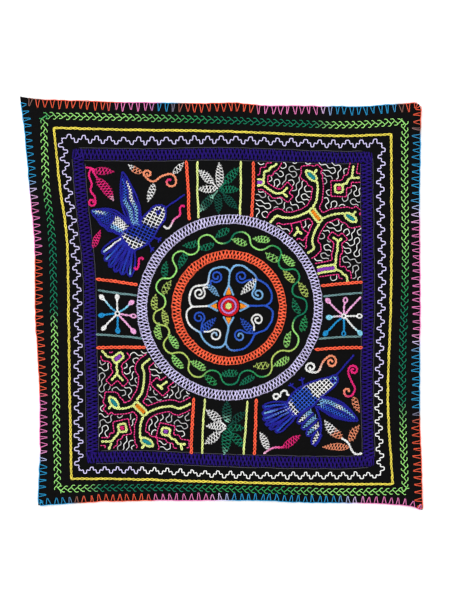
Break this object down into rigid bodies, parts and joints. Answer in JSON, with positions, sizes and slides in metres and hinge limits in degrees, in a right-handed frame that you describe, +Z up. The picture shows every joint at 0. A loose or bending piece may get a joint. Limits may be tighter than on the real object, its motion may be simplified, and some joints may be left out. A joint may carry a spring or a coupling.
{
  "type": "embroidered cloth",
  "caption": "Square black cotton cloth lying flat, hand embroidered with stitched borders, a round leaf-wreath medallion and panels of birds, sprigs and branching lines.",
  "frame": {"origin": "under the middle of the cloth's box, on the surface it lies on", "axes": "+Z up out of the embroidered face, +Y towards the top edge of the design, +X to the right"},
  "size_m": [0.4516, 0.464, 0.0075],
  "materials": {
    "black_cotton": "matt plain-weave cotton",
    "embroidery_yarn": "plied embroidery yarn in many colours, low sheen"
  },
  "bodies": {
    "root": {"cloth": "black_cotton"}
  },
  "joints": []
}
